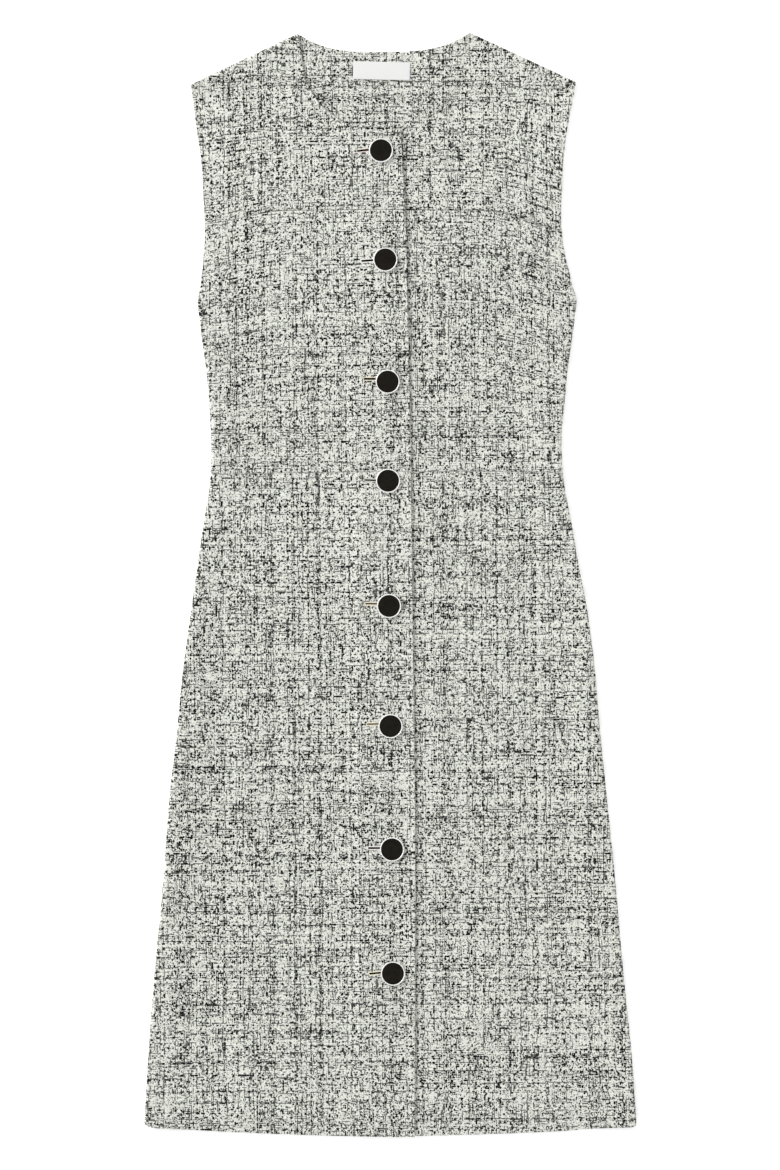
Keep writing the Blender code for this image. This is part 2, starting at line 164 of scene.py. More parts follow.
# Hem: out, down on the right, down on the left.
HEM = (
    (-30.0, 1048.0, 1047.0),
    (0.0, 1048.0, 1047.5),
    (70.0, 1046.0, 1046.5),
    (150.0, 1042.5, 1044.0),
    (190.0, 1040.0, 1041.5),
    (222.0, 1038.3, 1040.4),
    (229.0, 1037.0, 1040.0),
    (232.3, 1034.8, 1039.0),
    (234.5, 1031.5, 1037.0),
)
BACK_HEM_RISE = 1.5 * MM   # the back's hem lies this much above the fronts'
# Edge of the lapped right front: down, distance past the middle line.
LAP_EDGE = (
    (92.0, 15.5),
    (167.0, 19.5),
    (294.0, 22.0),
    (415.0, 23.5),
    (600.0, 24.5),
    (750.0, 25.5),
    (966.0, 24.0),
    (1049.0, 23.0),
)
# Buttons: number, the right front piece that its buttonhole is cut in, how much the hole
# lies over the button's middle near the button's edge and at the hole's far end, half the
# width of its open slit, all in millimetres, and its thread.
BUTTONS = (
    (1, "yoke", 1.0, -0.3, 0.98, "rose"),
    (2, "bodice", -0.4, -1.1, 1.02, "white"),
    (3, "bodice", 2.8, 2.9, 1.02, "gold"),
    (4, "skirt", 0.3, 0.9, 0.76, "grey"),
    (5, "skirt", 2.1, 2.3, 0.72, "gold"),
    (6, "skirt", 2.2, 1.9, 0.68, "gold"),
    (7, "skirt", 1.2, 1.2, 0.98, "white"),
    (8, "skirt", 0.9, -0.2, 0.90, "gold"),
)
SEAM_ROUNDS = 4            # steps in which a seam finds its end on the outer edge

# ---- Fineness of the cloth meshes ----------------------------------------------------------
# Distances of the outermost mesh lines from a piece's edge, in millimetres, and the pitch
# of the lines between them.
EDGE_LINES = (0.0, 0.08, 0.3, 0.6, 1.0, 1.5, 2.0, 2.5, 3.0, 3.6, 4.4, 6.0)
PITCH = 3.2 * MM
EDGE_ROUND = 1.0 * MM      # an edge rounds off over this distance from its cut line
# The shoulder's lines go on from the neckline's, which end at the neck point, and leave out
# the point itself and the line next to it.
SHOULDER_SKIP = 2
# The two halves of the back join at the middle, so the fine lines of an edge are left out.
MIDDLE_SKIP = len(EDGE_LINES)

# ---- Buttonholes ---------------------------------------------------------------------------
SHANK_LENGTH = 6.0 * MM
SHANK_WIDTH = 1.0 * MM
SHANK_SUNK = 0.8 * MM        # the shank's top reaches this far up into the cup
HOLE_PAST_SHANK = 0.5 * MM
HOLE_LENGTH = 26.3 * MM
HOLE_WIDTH = 2.0 * MM
HOLE_KNEE = 4.0 * MM         # from the button's middle; past this the line may slope
HOLE_PARTS = 3               # straight parts of the hole's line
END_SEGMENTS = 8
STITCH_START = 9.6 * MM      # from the button's middle, just under its edge
STITCH_PITCH = 0.38 * MM
STITCH_REACH = 1.85 * MM     # from the middle of the hole
STITCH_UNEVEN = 0.12 * MM    # a stitch may end this much farther out or in
UNEVEN_SCALE = 2500.0        # of the noise that decides it, and how far apart
UNEVEN_TURN = 3.0            # the stitches of different directions lie in it
# Path of a stitch: share of the way from the slit's side to the reach, distance past that
# and height over the lap, both in millimetres.
STITCH_PATH = (
    (0.0, 0.0, -0.5),
    (0.0, 0.05, -0.05),
    (0.5, 0.0, 0.04),
    (1.0, 0.0, -0.05),
    (1.0, 0.05, -0.4),
)
THREAD_RADIUS = 0.16 * MM
THREAD_SIDES = 6
# The dark strip inside each buttonhole is painted shadow: a near-black sheet where the open
# slit shows only shade.
INNER_DEPTH = 1.65 * MM      # height of the dark strip over the lap's underside
INNER_CLEAR = 0.1 * MM       # the strip is this much narrower than the hole
HOLE_SHADOW_TINT = (0.007, 0.004, 0.003)
THREADS = {
    "rose": (0.82, 0.72, 0.65),
    "white": (0.90, 0.89, 0.85),
    "gold": (0.82, 0.77, 0.60),
    "grey": (0.62, 0.61, 0.57),
}

# ---- Weave, placed in millimetres along weft and warp ---------------------------------------
YARN = 0.85              # millimetres from one warp or weft yarn to the next
SLUB_PITCH = 1.9         # millimetres between the yarns that carry thick slubs
TWEED_LIGHT = 2.02       # brightness of the off-white yarns before their unevenness
TWEED_WHITE = 0.86       # no yarn is lighter than this
TWEED_BLACK = 0.008
TWEED_TINT = (1.0, 1.012, 0.93)
WANDER = 3.0             # millimetres that the yarns wander from a straight line
WANDER_SCALE = 0.012
PATCH_SCALE = 0.045      # of the noise that makes the cloth darker and lighter in patches
YARN_RISE = 0.9          # how far a yarn goes over and under, in half yarn widths
SLUB_RISE = 1.9          # how much a yarn's black stretch stands over plain yarn
SPECK_LOW = 0.15         # share of its brightness that the darkest crossing keeps
# Painted shade in the hollows between the yarns: heights from and to, and the share of
# brightness kept at each.
HOLLOW_SHADE_STEP = (0.4, 1.3, 0.3, 1.0)
HAIR_SCALE = 2.6
HAIR_RANGE = (0.45, 1.55)   # the fine hairs change the brightness by these factors
HAIR_RISE = 0.6             # and stand this high, in half yarn widths
TWEED_BUMP = 0.3 * MM       # depth of the bump for a height of half a yarn's width
# Noise that runs along each yarn: step from one yarn to the next, offset, length of a run in
# millimetres, detail, and how much the yarn's own number and the cloth's patches add. Then
# its smooth step: noise from and to, and the value at each.
BLACK_RUN = (17.31, 0, 2.8, 1.0, 0.15, 0.08), (0.68, 0.70, 0.0, 1.0)
LINE_RUN = (5.17, 20, 11.0, 1.0, 0.20, 0.08), (0.65, 0.69, 1.0, 0.2)
SLOW_RUN = (3.77, 90, 30.0, 1.0, 0.60, 0.0), (0.3, 0.7, 1.0, 0.78)
FLECK_RUN = (7.39, 50, 1.0, 0.0, 0.0, 0.0), (0.30, 0.60, 0.55, 1.0)
# Thick slubs: step from one to the next, length of a run in millimetres, how much their own
# number, the patches and the distance from their middle add, and the noise of the step.
SLUB_INDEX_STEP = 13.37
SLUB_LENGTH = 3.0
SLUB_OWN = 0.20
SLUB_PATCH = 0.12
SLUB_FALL = -0.50
SLUB_STEP = (0.65, 0.67)
# The starts that keep the noises of warp, weft and slubs apart.
WARP_START, WEFT_START = 3.7, 911.3
SLUB_STARTS = (77.7, 555.1)
# How much the weft droops with the yoke seam, over the height of a front: down, share.
DROOP = (
    (0.0, 0.0),
    (60.0, 0.1),
    (130.0, 0.9),
    (180.0, 1.0),
    (290.0, 0.8),
    (400.0, 0.0),
    (1100.0, 0.0),
)
# Each piece's weave starts this far from that of the piece before it, in this order.
UV_STEP = (431.0, 1187.0)
WEAVE_ORDER = (
    "back_bodice",
    "back_skirt",
    "left_front_yoke",
    "left_front_bodice",
    "left_front_skirt",
    "right_front_yoke",
    "right_front_bodice",
    "right_front_skirt",
)


# ---- Curves --------------------------------------------------------------------------------
def hermite(keys, values, at):
    """Smooth value at `at`, through the `values` that stand at the rising `keys`."""
    last = len(keys) - 1
    i = 0
    while i < last - 1 and at > keys[i + 1]:
        i += 1

    def slope(k):
        before, after = max(k - 1, 0), min(k + 1, last)
        return (values[after] - values[before]) / (keys[after] - keys[before])

    span = keys[i + 1] - keys[i]
    t = (at - keys[i]) / span
    rise = values[i + 1] - values[i]
    start, end = slope(i) * span, slope(i + 1) * span
    bow = (1 - t) * start - t * end + (2 * t - 1) * rise
    return values[i] + t * rise + t * (1 - t) * bow


def read(table, at, column=1):
    """A column of a table, where its first column is `at`. Both are in metres."""
    keys = [row[0] for row in table]
    values = [row[column] for row in table]
    return hermite(keys, values, at / MM) * MM


def ease(t):
    """0 to 1, flat at both ends."""
    t = min(max(t, 0.0), 1.0)
    return t * t * (3 - 2 * t)


def smooth(t):
    """`ease` over an array."""
    t = np.clip(t, 0.0, 1.0)
    return t * t * (3 - 2 * t)


def side_column(side):
    return 1 if side == RIGHT else 2


def spaced(length, count=None, edge_lines=EDGE_LINES, pitch=PITCH):
    """Places along a line, close together at both ends."""
    near = [distance * MM for distance in edge_lines]
    inside = length - 2 * near[-1]
    if count is None:
        spare = max(int(inside / pitch), 1)
    else:
        spare = count - 2 * len(near)
    middle = [near[-1] + inside * (k + 1) / (spare + 1) for k in range(spare)]
    return near + middle + [length - distance for distance in reversed(near)]


# ---- The flat cut --------------------------------------------------------------------------
def roll_angle(down):
    """How far an outer edge turns over: a quarter turn along the side seam, and none
    along the armhole."""
    if down >= UNDERARM_DOWN:
        return math.pi / 2
    return math.pi / 2 * ease(1 - (UNDERARM_DOWN - down) / ARMHOLE_CLOSE)


def side_tail(angle):
    return (SIDE_TAIL - GAP / 2) * math.sin(angle)


def outer_cut(side, down):
    """Half-width of the flat cut, which keeps the outline once the edge is turned over."""
    outline = read(ARMHOLE if down < UNDERARM_DOWN else SIDE, down, side_column(side))
    angle = roll_angle(down)
    crease = outline - (SIDE_ROLL + CLOTH / 2) * math.sin(angle)
    crease -= side_tail(angle) * math.cos(angle)
    return crease + SIDE_ROLL * angle + side_tail(angle)


def inner_cut(side, down):
    """Edge of a front at the closure: the lap's edge, or the underlap's."""
    edge = read(LAP_EDGE, down)
    return -edge if side == RIGHT else edge - UNDERLAP


def seam_points(side, table, shift, inner, count):
    """Points along a crosswise seam or hem, which `shift` moves down."""
    column = side_column(side)

    def seam(out):
        return read(table, out, column) + shift

    start = inner(seam(0.0))
    end = table[-1][0] * MM
    for _ in range(SEAM_ROUNDS):
        end = outer_cut(side, seam(end))
    return [(start + place, seam(start + place)) for place in spaced(end - start, count)]


def neck_points(table, start):
    """Points along a neckline, from the place `start` out to the neck point."""
    outs = [row[0] for row in table]
    downs = [row[1] for row in table]
    run = [0.0]
    for (x0, y0), (x1, y1) in zip(table, table[1:]):
        run.append(run[-1] + math.hypot(x1 - x0, y1 - y0))
    first = hermite(outs, run, start / MM)
    places = [first + place / MM for place in spaced((run[-1] - first) * MM)]
    return [(hermite(run, outs, at) * MM, hermite(run, downs, at) * MM) for at in places]


def shoulder_frame(side):
    """Length of the shoulder seam, and its outward direction in (out, down)."""
    run = read(ARMHOLE, SHOULDER_DROP, side_column(side)) - NECK_HALF
    length = math.hypot(run, SHOULDER_DROP)
    return length, (SHOULDER_DROP / length, -run / length)


def shoulder_points(side):
    """Points along the shoulder seam's cut edge, out to the shoulder tip."""
    length, normal = shoulder_frame(side)
    turned_over = SHOULDER_ROLL * math.pi / 2 + SHOULDER_TAIL - GAP / 2
    pull = SHOULDER_ROLL + CLOTH / 2 - turned_over
    return [(NECK_HALF - normal[1] * along - normal[0] * pull,
             normal[0] * along - normal[1] * pull)
            for along in spaced(length)[SHOULDER_SKIP:]]


def patch(top, bottom, inner, outer, count=None):
    """Rows of flat points between a top and a bottom line. `inner` and `outer` give the
    side edges, whose bow dies away across the piece."""
    top, bottom = np.array(top), np.array(bottom)

    def share(line):
        return (line[:, 0] - line[0, 0]) / (line[-1, 0] - line[0, 0])

    weights = ((share(top) + share(bottom)) / 2) ** 2
    height = bottom[-1, 1] - top[-1, 1]
    rows = []
    for t in np.array(spaced(height, count)) / height:
        row = top + (bottom - top) * t
        if 0.0 < t < 1.0:
            inner_bow = inner(row[0, 1]) - row[0, 0]
            outer_bow = outer(row[-1, 1]) - row[-1, 0]
            row[:, 0] += (1 - weights) * inner_bow + weights * outer_bow
        rows.append(row)
    return np.array(rows)


# ---- Laying the flat cut -------------------------------------------------------------------
def front_height(side, out, inside_side, inside_shoulder, share, lap_edge):
    """Middle of a front's wall over the surface, before its edges turn over."""
    swell = ARMHOLE_LIFT + (SIDE_TOP_Z - FRONT_Z - ARMHOLE_LIFT) * share
    swell *= ease(1 - inside_side / SIDE_SWELL)
    lift = (SHOULDER_TOP_Z - FRONT_Z) * ease(1 - inside_shoulder / SHOULDER_SWELL)
    height = FRONT_Z + max(swell, lift)
    if side == RIGHT:
        past_underlap = out + lap_edge - UNDERLAP
        height += (LAP_Z - FRONT_Z) * (1 - ease((past_underlap - STEP_CLEAR) / STEP_RUN))
    return height


def turn_over(past_crease, radius, angle):
    """A roll through `angle`, then straight on: how far a point that lies `past_crease`
    is drawn in, and how far it leaves the sheet's plane."""
    if past_crease <= 0 or angle == 0:
        return 0.0, 0.0
    bend = min(past_crease / radius, angle)
    tail = past_crease - radius * bend
    reach = radius * math.sin(bend) + tail * math.cos(bend)
    return past_crease - reach, radius * (1 - math.cos(bend)) + tail * math.sin(bend)


def lay_row(side, row, is_front):
    """World positions of the flat points of a row that ends at the outer edge."""
    edge_out, edge_down = row[-1]
    angle = roll_angle(edge_down)
    crease = edge_out - (SIDE_ROLL * angle + side_tail(angle))
    normal = shoulder_frame(side)[1]
    lap_edge = read(LAP_EDGE, float(row[0, 1]))
    places = []
    for out, down in row:
        past_side = out - crease
        past_shoulder = (out - NECK_HALF) * normal[0] + down * normal[1]
        past_shoulder += SHOULDER_ROLL + CLOTH / 2
        if is_front:
            height = front_height(side, out, max(-past_side, 0.0), max(-past_shoulder, 0.0),
                                  angle / (math.pi / 2), lap_edge)
            turn = -1
        else:
            height = BACK_Z
            turn = 1
        drawn_in, fall = turn_over(past_side, SIDE_ROLL, angle)
        out -= drawn_in
        height += turn * fall
        drawn_in, fall = turn_over(past_shoulder, SHOULDER_ROLL, math.pi / 2)
        out -= normal[0] * drawn_in
        down -= normal[1] * drawn_in
        height += turn * fall
        places.append((side * out, LENGTH / 2 - down, height))
    return places


# ---- Cloth pieces --------------------------------------------------------------------------
def link(name, mesh, look):
    """A new smooth-shaded object in the scene."""
    mesh.materials.append(look)
    mesh.shade_smooth()
    piece = bpy.data.objects.new(name, mesh)
    bpy.context.scene.collection.objects.link(piece)
    return piece


def edge_distance(grid):
    """For each point of a grid, its distance along the grid's lines to each edge."""
    across = np.linalg.norm(np.diff(grid, axis=1), axis=2)
    along = np.linalg.norm(np.diff(grid, axis=0), axis=2)
    from_start = np.pad(np.cumsum(across, axis=1), ((0, 0), (1, 0)))
    from_top = np.pad(np.cumsum(along, axis=0), ((1, 0), (0, 0)))
    return (from_start, from_start[:, -1:] - from_start, from_top, from_top[-1:] - from_top)


def wall_half(grid, wall, rounding):
    """Half the wall's thickness at each point, which rounds off to nothing at an edge."""
    half = np.full(grid.shape[:2], wall / 2)
    for distance in edge_distance(grid):
        inside = 1 - np.clip(distance / rounding, 0.0, 1.0)
        half *= np.sqrt(1 - inside ** 2)
    return half


def shell(name, flat, laid, cloth_uv, look, wall=CLOTH, rounding=EDGE_ROUND):
    """A closed wall of cloth with rounded edges, round a grid of laid points."""
    laid = np.array(laid)
    rows, columns = laid.shape[:2]
    normals = np.cross(np.gradient(laid, axis=1), np.gradient(laid, axis=0))
    normals /= np.linalg.norm(normals, axis=2)[..., None]
    if normals[rows // 2, columns // 2, 2] < 0:
        normals = -normals
    offset = normals * wall_half(flat, wall, rounding)[..., None]
    upper = np.arange(rows * columns).reshape(rows, columns)
    lower = upper.copy()
    inner = np.zeros((rows, columns), bool)
    inner[1:-1, 1:-1] = True
    lower[inner] = rows * columns + np.arange(inner.sum())
    points = np.concatenate([(laid + offset).reshape(-1, 3), (laid - offset)[inner]])

    def quads(index):
        return np.stack([index[:-1, :-1], index[1:, :-1], index[1:, 1:], index[:-1, 1:]],
                        axis=-1).reshape(-1, 4)

    middle = points[upper[rows // 2, columns // 2]]
    below = points[upper[rows // 2 + 1, columns // 2]] - middle
    beside = points[upper[rows // 2, columns // 2 + 1]] - middle
    turn = -1 if np.cross(below, beside)[2] < 0 else 1
    faces = np.concatenate([quads(upper)[:, ::turn], quads(lower)[:, ::-turn]])
    mesh = bpy.data.meshes.new(name)
    mesh.from_pydata(points.tolist(), [], faces.tolist())
    uv = np.concatenate([cloth_uv.reshape(-1, 2), cloth_uv[inner]])
    layer = mesh.uv_layers.new(name="cloth")
    corners = np.empty(len(mesh.loops), dtype=np.int32)
    mesh.loops.foreach_get("vertex_index", corners)
    layer.data.foreach_set("uv", uv[corners].astype(np.float32).ravel())
    return link(name, mesh, look)


def cut_area(flat):
    """Area of a flat cut in square metres, and its width and length."""
    rim = np.concatenate([flat[0], flat[1:, -1], flat[-1, -2::-1], flat[-2:0:-1, 0]])
    x, y = rim[:, 0], rim[:, 1]
    area = abs(np.dot(x, np.roll(y, -1)) - np.dot(y, np.roll(x, -1))) / 2
    return area, rim.max(axis=0) - rim.min(axis=0)


def weave_place(flat, side):
    """Where each point of a front lies in the woven cloth, along weft and warp."""
    out, down = flat[..., 0] / MM, flat[..., 1] / MM
    seam = [row[0] for row in YOKE_SEAM]
    level = [row[side_column(side)] for row in YOKE_SEAM]
    fall = np.interp(out, seam, level) - level[0]
    down = down - fall * np.interp(down, *zip(*DROOP))
    return np.stack([side * out, down], axis=-1)


def cloth_piece(node, flat, laid, place, look):
    """The cloth of one cut piece, which keeps the size of its flat cut."""
    start = np.array(UV_STEP) * WEAVE_ORDER.index(node)
    piece = shell(f"{node}_cloth", flat, laid, place + start, look)
    area, (width, length) = cut_area(flat)
    piece["cut"] = [float(width), float(length), float(area)]
    return piece


def stand_for(piece, node):
    """Puts a piece in its solid's place."""
    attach(piece, "root")
    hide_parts(node)


def finish_cloth(piece, node):
    """Puts a cloth piece in its solid's place."""
    stand_for(piece, node)


def soft_lift(side, flat, cut):
    """How much the cloth stands off its rest along the neckline and the lap's edge."""
    from_start, _, from_top, _ = edge_distance(flat)
    lift = np.zeros(flat.shape[:2])
    if side == RIGHT:
        lift += LAP_LIFT * smooth(1 - from_start / LAP_LIFT_RUN)
    if cut == "yoke":
        at_neck = smooth((NECK_HALF - flat[0, :, 0]) / NECK_LIFT_END)
        lift += NECK_LIFT * at_neck * smooth(1 - from_top / NECK_LIFT_RUN)
    return lift


def front_pieces(side, look):
    """Yoke, bodice and skirt of one front, from its closure to its side seam."""
    word = "right" if side == RIGHT else "left"

    def inner(down):
        return inner_cut(side, down)

    def outer(down):
        return outer_cut(side, down)

    def across(table, shift, count=None):
        return seam_points(side, table, shift, inner, count)

    half = GAP / 2
    top = neck_points(FRONT_NECK, inner(FRONT_NECK_DOWN)) + shoulder_points(side)
    hem = across(HEM, 0.0)
    cuts = {
        "yoke": (top, across(YOKE_SEAM, -half, len(top))),
        "bodice": (across(YOKE_SEAM, half, len(hem)), across(WAIST_SEAM, -half, len(hem))),
        "skirt": (across(WAIST_SEAM, half, len(hem)), hem),
    }
    pieces = {}
    for cut, (first, last) in cuts.items():
        flat = patch(first, last, inner, outer)
        laid = np.array([lay_row(side, row, True) for row in flat])
        laid[..., 2] += soft_lift(side, flat, cut)
        place = weave_place(flat, side)
        pieces[cut] = cloth_piece(f"{word}_front_{cut}", flat, laid, place, look)
    return pieces


def middle_line(down):
    """Edge of a half of the back, which runs down the middle of the dress."""
    return 0.0


def half_seam(side, table, shift, count=None):
    """Points along a crosswise seam or hem of the back, from near the middle outwards."""
    if count is not None:
        count += MIDDLE_SKIP
    return seam_points(side, table, shift, middle_line, count)[MIDDLE_SKIP:]


def back_half(side, cut, rows=None):
    """Flat and laid points of one half of a back piece."""

    def outer(down):
        return outer_cut(side, down)

    if cut == "bodice":
        top = neck_points(BACK_NECK, 0.0)[MIDDLE_SKIP:] + shoulder_points(side)
        bottom = half_seam(side, WAIST_SEAM, -GAP / 2, len(top))
    else:
        bottom = half_seam(side, HEM, -BACK_HEM_RISE)
        top = half_seam(side, WAIST_SEAM, GAP / 2, len(bottom))
    top[0] = (0.0, top[0][1])
    bottom[0] = (0.0, bottom[0][1])
    flat = patch(top, bottom, middle_line, outer, rows)
    return flat * (side, 1), np.array([lay_row(side, row, False) for row in flat])


def back_pieces(look):
    """Bodice and skirt of the back, in two halves that join at the middle."""
    pieces = {}
    for cut in ("bodice", "skirt"):
        right = back_half(RIGHT, cut)
        left = back_half(LEFT, cut, len(right[0]))
        flat, laid = [np.concatenate([first[:, :0:-1], last], axis=1)
                      for first, last in zip(right, left)]
        pieces[cut] = cloth_piece(f"back_{cut}", flat, laid, flat / MM, look)
    return pieces


# ---- Buttonholes ---------------------------------------------------------------------------
def button_centre(number):
    low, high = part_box(f"button_{number}_face")
    return (low[0] + high[0]) / 2, (low[1] + high[1]) / 2


def round_bar(start, end, width):
    """Outline of a bar with round ends, round the line from `start` to `end`."""
    along = (end - start).normalized()
    across = Vector((-along.y, along.x)) * width / 2
    ahead = along * width / 2
    ring = []
    for centre, turn in ((end, 1), (start, -1)):
        for step in range(END_SEGMENTS + 1):
            angle = math.pi * step / END_SEGMENTS
            ring.append(centre + turn * (ahead * math.sin(angle) - across * math.cos(angle)))
    return ring


def prism(bm, ring, low, high):
    """A closed upright solid on a flat outline."""
    rims = [[bm.verts.new((place.x, place.y, height)) for place in ring]
            for height in (low, high)]
    bm.faces.new(reversed(rims[0]))
    bm.faces.new(rims[1])
    for k in range(len(ring)):
        after = (k + 1) % len(ring)
        bm.faces.new((rims[0][k], rims[0][after], rims[1][after], rims[1][k]))


def hole_line(number, rise, far_rise):
    """Middle line of a buttonhole: its near end, its knee, its place near the button's edge
    and its far end."""
    x, y = button_centre(number)
    near = Vector((x + SHANK_LENGTH / 2 + HOLE_PAST_SHANK - HOLE_WIDTH / 2, y))
    knee = Vector((x - HOLE_KNEE, y))
    edge = Vector((x - STITCH_START, y + rise * MM))
    far = Vector((near.x - (HOLE_LENGTH - HOLE_WIDTH), y + far_rise * MM))
    return near, knee, edge, far


def slot_cutter(cut, part):
    """One straight part of the buttonholes of one right front piece."""
    bm = bmesh.new()
    for number, piece, rise, far_rise, _, _ in BUTTONS:
        if piece == cut:
            line = hole_line(number, rise, far_rise)
            ring = round_bar(line[part], line[part + 1], HOLE_WIDTH)
            prism(bm, ring, LAP_Z - 2 * CLOTH, LAP_Z + 2 * CLOTH)
    bmesh.ops.recalc_face_normals(bm, faces=bm.faces)
    mesh = bpy.data.meshes.new(f"slots_{cut}")
    bm.to_mesh(mesh)
    bm.free()
    cutter = bpy.data.objects.new(mesh.name, mesh)
    bpy.context.scene.collection.objects.link(cutter)
    return cutter


def thread(bm, path, side):
    """A short thread along a few points, with closed ends. `side` lies across it."""
    angles = [2 * math.pi * n / THREAD_SIDES for n in range(THREAD_SIDES)]
    rings = []
    for k, place in enumerate(path):
        ahead = (path[min(k + 1, len(path) - 1)] - path[max(k - 1, 0)]).normalized()
        up = side.cross(ahead)
        ring = [place + THREAD_RADIUS * (side * math.cos(angle) + up * math.sin(angle))
                for angle in angles]
        rings.append([bm.verts.new(corner) for corner in ring])
    for first, last in zip(rings, rings[1:]):
        for n in range(THREAD_SIDES):
            after = (n + 1) % THREAD_SIDES
            bm.faces.new((first[n], first[after], last[after], last[n]))
    bm.faces.new(reversed(rings[0]))
    bm.faces.new(rings[-1])


def stitch(bm, middle, out, slit):
    """A thread from inside the hole at `middle`, over its edge and down into the lap."""
    top = LAP_Z + CLOTH / 2
    uneven = noise.noise(middle.to_3d() * UNEVEN_SCALE + out.to_3d() * UNEVEN_TURN)
    reach = STITCH_REACH + STITCH_UNEVEN * uneven
    path = []
    for share, past, height in STITCH_PATH:
        place = middle + out * (slit * (1 - share) + reach * share + past * MM)
        path.append(Vector((place.x, place.y, top + height * MM)))
    thread(bm, path, Vector((-out.y, out.x, 0.0)))


def stitch_buttonholes():
    """Stitches along both sides and round the far end of each buttonhole, and a dark strip
    inside it that stands for the shadow there."""
    looks = {name: thread_material(name, tint) for name, tint in THREADS.items()}
    # Near-black look of the strip inside each slit, which is painted shadow.
    inside = thread_material("inside", HOLE_SHADOW_TINT, 0.0)
    for number, _, rise, far_rise, slit, tint in BUTTONS:
        start, far = hole_line(number, rise, far_rise)[2:]
        along = (far - start).normalized()
        across = Vector((-along.y, along.x))
        run = (far - start).length
        count = round(run / STITCH_PITCH)
        bm = bmesh.new()
        for k in range(count):
            middle = start + along * (run * k / count)
            for turn in (-1, 1):
                stitch(bm, middle, across * turn, slit * MM)
        for k in range(END_SEGMENTS + 1):
            angle = math.pi * k / END_SEGMENTS
            stitch(bm, far, along * math.sin(angle) - across * math.cos(angle), slit * MM)
        stitch_faces = len(bm.faces)
        # The strip of painted shadow inside the slit.
        underside = LAP_Z - CLOTH / 2
        ring = round_bar(start, far, HOLE_WIDTH - INNER_CLEAR)
        prism(bm, ring, underside, underside + INNER_DEPTH)
        bm.faces.ensure_lookup_table()
        for face in bm.faces[stitch_faces:]:
            face.material_index = 1
        bmesh.ops.recalc_face_normals(bm, faces=bm.faces)
        mesh = bpy.data.meshes.new(f"buttonhole_{number}")
        bm.to_mesh(mesh)
        bm.free()
        piece = link(mesh.name, mesh, looks[tint])
        mesh.materials.append(inside)
        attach(piece, "root")


def cut_buttonholes(right_front):
    """Cuts the buttonholes through the right front, one straight part after another."""
    for cut, piece in right_front.items():
        for part in range(HOLE_PARTS):
            cutter = slot_cutter(cut, part)
            slots = piece.modifiers.new("buttonholes", "BOOLEAN")
            slots.operation = "DIFFERENCE"
            slots.object = cutter
            graph = bpy.context.evaluated_depsgraph_get()
            mesh = bpy.data.meshes.new_from_object(piece.evaluated_get(graph))
            piece.modifiers.clear()
            piece.data = mesh
            bpy.data.objects.remove(cutter)


# ---- Buttons and label ---------------------------------------------------------------------
BUTTON_SEGMENTS = 96
SHARP_ANGLE = math.radians(50)   # steeper corners stay sharp
# Metal cup: radius and height over its underside, in millimetres, from the middle of the
# recess round the rim to the middle of the underside.
CUP_PROFILE = (
    (0.0, 1.6),
    (10.3, 1.6),
    (10.45, 1.75),
    (10.45, 3.1),
    (10.49, 3.21),
    (10.6, 3.28),
    (10.9, 3.30),
    (11.2, 3.28),
    (11.34, 3.18),
    (11.41, 3.0),
    (11.43, 2.7),
    (11.38, 1.15),
    (11.2, 0.75),
    (10.8, 0.4),
    (10.2, 0.15),
    (9.4, 0.0),
    (0.0, 0.0),
)
# Enamel face in the recess: radius and height over the cup's underside, in millimetres.
FACE_PROFILE = (
    (0.0, 3.3),
    (2.0, 3.295),
    (4.0, 3.28),
    (6.0, 3.26),
    (8.0, 3.22),
    (9.6, 3.15),
    (10.1, 3.07),
    (10.3, 2.93),
    (10.4, 2.7),
    (10.4, 1.75),
    (0.0, 1.75),
)


def turned(name, profile, place, look, shank_low=None):
    """A solid turned about Z, from a profile of radii and heights that starts and ends on
    the axis. A shank, where it has one, goes down to `shank_low`."""
    bm = bmesh.new()
    angles = [2 * math.pi * k / BUTTON_SEGMENTS for k in range(BUTTON_SEGMENTS)]
    rings = []
    for radius, height in profile:
        if radius == 0.0:
            rings.append([bm.verts.new((0.0, 0.0, height * MM))])
            continue
        rings.append([bm.verts.new((radius * MM * math.cos(angle),
                                    radius * MM * math.sin(angle), height * MM))
                      for angle in angles])
    for upper, lower in zip(rings, rings[1:]):
        for k in range(BUTTON_SEGMENTS):
            after = (k + 1) % BUTTON_SEGMENTS
            if len(upper) == 1:
                bm.faces.new((upper[0], lower[k], lower[after]))
            elif len(lower) == 1:
                bm.faces.new((upper[k], lower[0], upper[after]))
            else:
                bm.faces.new((upper[k], lower[k], lower[after], upper[after]))
    bmesh.ops.translate(bm, vec=place, verts=bm.verts)
    if shank_low is not None:
        half = Vector(((SHANK_LENGTH - SHANK_WIDTH) / 2, 0.0))
        centre = Vector(place[:2])
        ring = round_bar(centre - half, centre + half, SHANK_WIDTH)
        prism(bm, ring, shank_low, place[2] + SHANK_SUNK)
    bmesh.ops.recalc_face_normals(bm, faces=bm.faces)
    mesh = bpy.data.meshes.new(name)
    bm.to_mesh(mesh)
    bm.free()
    piece = link(name, mesh, look)
    mesh.set_sharp_from_angle(angle=SHARP_ANGLE)
    return piece


def buttons(metal, enamel):
    """Each button's cup, with its shank, and the enamel face in it."""
    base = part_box("button_1_face")[0][2] - GAP - CUP_PROFILE[0][1] * MM
    shank_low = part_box("button_1")[0][2]
    for number, *_ in BUTTONS:
        place = (*button_centre(number), base)
        cup = turned(f"button_{number}_cup", CUP_PROFILE, place, metal, shank_low)
        stand_for(cup, f"button_{number}")
        face = turned(f"button_{number}_enamel", FACE_PROFILE, place, enamel)
        stand_for(face, f"button_{number}_face")


LABEL_SIZE = (54.0 * MM, 17.0 * MM)
LABEL_TILT = math.radians(-1.6)
LABEL_WALL = 0.8 * MM
LABEL_ROUND = 0.4 * MM
LABEL_CROWN = 0.35 * MM      # the label stands this much higher in its middle
# Its ripple: height, and in radians to a millimetre how fast it comes and goes along and
# across the label, and where along it starts.
RIPPLE = 0.08 * MM
RIPPLE_ALONG, RIPPLE_ACROSS, RIPPLE_START = 0.31, 0.23, 0.8
